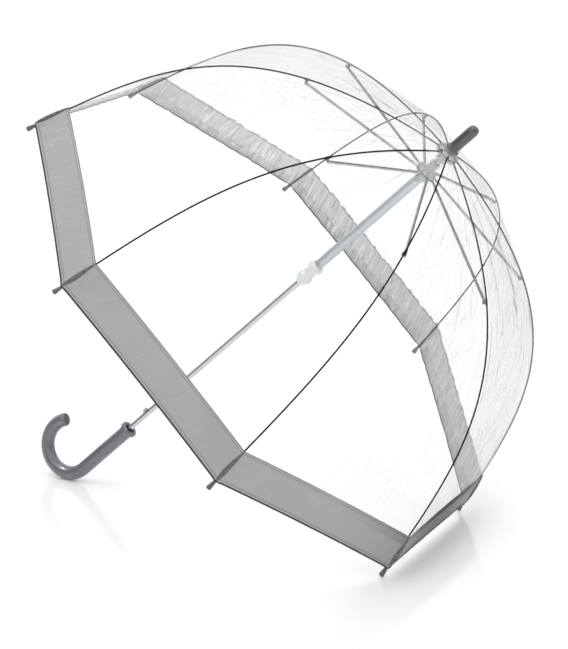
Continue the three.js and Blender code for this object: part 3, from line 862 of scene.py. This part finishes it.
# ---- Small metal pieces on the runner and at the hubs.


def shaft_to_row(points):
    """Points given in the upright umbrella's frame, in the part's frame."""
    x, y, up = np.array(points, float).T
    cosine, sine = math.cos(FIRST_RIB_ANGLE), math.sin(FIRST_RIB_ANGLE)
    return rib_to_row(1, np.stack([x * cosine + y * sine, -x * sine + y * cosine, up], axis=-1))


def lathe_mesh(name, profile, place, material):
    """A turned button from (radius, height) pairs, placed by a function of its points."""
    rings = []
    for radius, height in profile:
        for angle in np.linspace(0, 2 * math.pi, LATHE_SIDES, endpoint=False):
            rings.append((radius * math.cos(angle), radius * math.sin(angle), height))
    faces = grid_faces(len(profile), LATHE_SIDES, closed=True).tolist()
    mesh = bpy.data.meshes.new(name)
    mesh.from_pydata(place(np.array(rings)).tolist(), [], faces)
    mesh.materials.append(material)
    mesh.shade_smooth()
    return link(name, mesh)


def runner_eyelet(number, height):
    """A rolled eyelet round the rivet that pins the runner's tube."""
    outward = np.array([math.cos(RIVET_ANGLE), math.sin(RIVET_ANGLE), 0])
    aside = np.array([-math.sin(RIVET_ANGLE), math.cos(RIVET_ANGLE), 0])

    def place(rings):
        curve = RUNNER_RADIUS - np.sqrt(RUNNER_RADIUS**2 - rings[:, 0] ** 2)
        stand = RUNNER_RADIUS + rings[:, 2] - curve
        upright = rings[:, :1] * aside + stand[:, None] * outward
        upright[:, 2] += height + rings[:, 1]
        return shaft_to_row(upright)

    eyelet = lathe_mesh(f"runner_eyelet_{number}", EYELET_PROFILE, place, MATERIALS["steel"])
    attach(eyelet, "runner")


def wire_tail(body, radius, height):
    """The twisted end of the tie wire, bent down beside its hub."""
    cosine, sine = math.cos(TAIL_ANGLE), math.sin(TAIL_ANGLE)
    steps = np.linspace(0, 1, 40)
    for strand in range(2):
        phase = 6 * math.pi * steps + math.pi * strand
        out = radius + 0.0022 + 0.0015 * np.sin(math.pi * steps) + 0.0005 * np.cos(phase)
        side = 0.0005 * np.sin(phase)
        drop = height + 0.001 - 0.009 * steps
        line = np.stack([out * cosine - side * sine, out * sine + side * cosine, drop], axis=-1)
        name = f"{body}_wire_tail_{strand + 1}"
        tail = tube_mesh(name, shaft_to_row(line), TAIL_RADIUS, MATERIALS["tie_wire"])
        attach(tail, body)


def build_fittings():
    for number, height in enumerate(RIVET_HEIGHTS, start=1):
        runner_eyelet(number, height)
    for body, (radius, height) in TAIL_PLACES.items():
        wire_tail(body, radius, height)


# ---- Stage: floor, lights and camera.

FLOOR_HALF = 14.0


def build_floor():
    nodes = Nodes("floor").set(Roughness=0.14, Specular_IOR_Level=0.35, Emission_Strength=0.06)
    nodes.set(Emission_Color=(1, 1, 1, 1))
    tone = nodes.noise(3, detail=2)
    dark, pale = (0.975, 0.985, 0.99), (0.98, 0.99, 0.995)
    nodes.drive(Base_Color=nodes.colours(tone, (0.3, dark), (0.7, pale)))
    half = FLOOR_HALF
    corners = [(-half, -half, 0), (half, -half, 0), (half, half, 0), (-half, half, 0)]
    mesh = bpy.data.meshes.new("floor")
    mesh.from_pydata(corners, [], [(0, 1, 2, 3)])
    mesh.materials.append(nodes.material)
    link("floor", mesh)


# Dark cards of the studio, which streak the chrome and the gloss: direction and angular radius.
DARK_CARDS = [
    ((-0.90, -0.25, 0.30), 20),
    ((-0.60, -0.79, 0.06), 14),
    ((0.75, -0.60, 0.20), 16),
    ((0.55, 0.80, 0.22), 18),
]
# The sky's greys as (height, grey), from straight down at 0 to straight up at 1.
SKY = [(0.0, 0.95), (0.49, 0.95), (0.50, 0.42), (0.55, 0.72), (0.63, 1.08), (1.0, 1.12)]


def build_world():
    """A bright overhead sky that dims to the horizon, with dark cards standing round."""
    world = bpy.data.worlds.new("studio")
    bpy.context.scene.world = world
    world.use_nodes = True
    tree = world.node_tree
    place = tree.nodes.new("ShaderNodeTexCoord").outputs["Generated"]
    split = tree.nodes.new("ShaderNodeSeparateXYZ")
    half_up = tree.nodes.new("ShaderNodeMapRange")
    half_up.inputs["From Min"].default_value = -1
    ramp = tree.nodes.new("ShaderNodeValToRGB")
    while len(ramp.color_ramp.elements) < len(SKY):
        ramp.color_ramp.elements.new(0.5)
    for element, (position, grey) in zip(ramp.color_ramp.elements, SKY):
        element.position = position
        element.color = (grey, grey, grey, 1)
    tree.links.new(place, split.inputs["Vector"])
    tree.links.new(split.outputs["Z"], half_up.inputs["Value"])
    tree.links.new(half_up.outputs["Result"], ramp.inputs["Fac"])
    light = ramp.outputs["Color"]
    for direction, radius in DARK_CARDS:
        light = shaded_by_card(tree, light, place, direction, math.radians(radius))
    background = tree.nodes["Background"]
    tree.links.new(light, background.inputs["Color"])
    background.inputs["Strength"].default_value = 1.0


def shaded_by_card(tree, light, place, direction, radius):
    """The light, darkened where the direction is within a card's radius."""
    facing = tree.nodes.new("ShaderNodeVectorMath")
    facing.operation = "DOT_PRODUCT"
    facing.inputs[1].default_value = Vector(direction).normalized()
    tree.links.new(place, facing.inputs[0])
    edge = tree.nodes.new("ShaderNodeMapRange")
    edge.inputs["From Min"].default_value = math.cos(radius * 1.25)
    edge.inputs["From Max"].default_value = math.cos(radius * 0.8)
    edge.inputs["To Min"].default_value = 1.0
    edge.inputs["To Max"].default_value = 0.04
    tree.links.new(facing.outputs["Value"], edge.inputs["Value"])
    scale = tree.nodes.new("ShaderNodeVectorMath")
    scale.operation = "SCALE"
    tree.links.new(light, scale.inputs[0])
    tree.links.new(edge.outputs["Result"], scale.inputs["Scale"])
    return scale.outputs["Vector"]


def sun_lamp(name, energy, angle, travel):
    """A sun of an apparent width in degrees, whose light travels in a direction."""
    sun = bpy.data.lights.new(name, "SUN")
    sun.energy = energy
    sun.angle = math.radians(angle)
    lamp = bpy.data.objects.new(name, sun)
    lamp.rotation_euler = Vector(travel).to_track_quat("-Z", "Y").to_euler()
    bpy.context.scene.collection.objects.link(lamp)
    return lamp


def build_lamps():
    sun_lamp("overhead", 0.35, 35, (0.25, 0.30, -1.0))
    glint = sun_lamp("glint", 0.9, 16, (0.45, 0.25, -0.86))
    glint.visible_diffuse = False


def build_camera():
    axes = rib_axes(1)
    place = RIM_CENTRE + axes @ Vector(CAMERA_PLACE)
    forward = (axes @ Vector(CAMERA_VIEW)).normalized()
    right = forward.cross(-(axes @ Vector(CAMERA_DOWN))).normalized()
    up = right.cross(forward).normalized()
    camera = bpy.data.cameras.new("camera")
    camera.sensor_fit = "HORIZONTAL"
    camera.sensor_width = 36
    camera.lens = CAMERA_LENS
    holder = bpy.data.objects.new("camera", camera)
    turn = Matrix((right, up, -forward)).transposed().to_4x4()
    holder.matrix_world = Matrix.Translation(place) @ turn
    bpy.context.scene.collection.objects.link(holder)
    bpy.context.scene.camera = holder


def build_stage():
    build_floor()
    build_world()
    build_lamps()
    build_camera()
    bpy.context.scene.view_settings.view_transform = "Standard"


build_stage()
dress_cad_nodes()
build_canopy()
build_fittings()
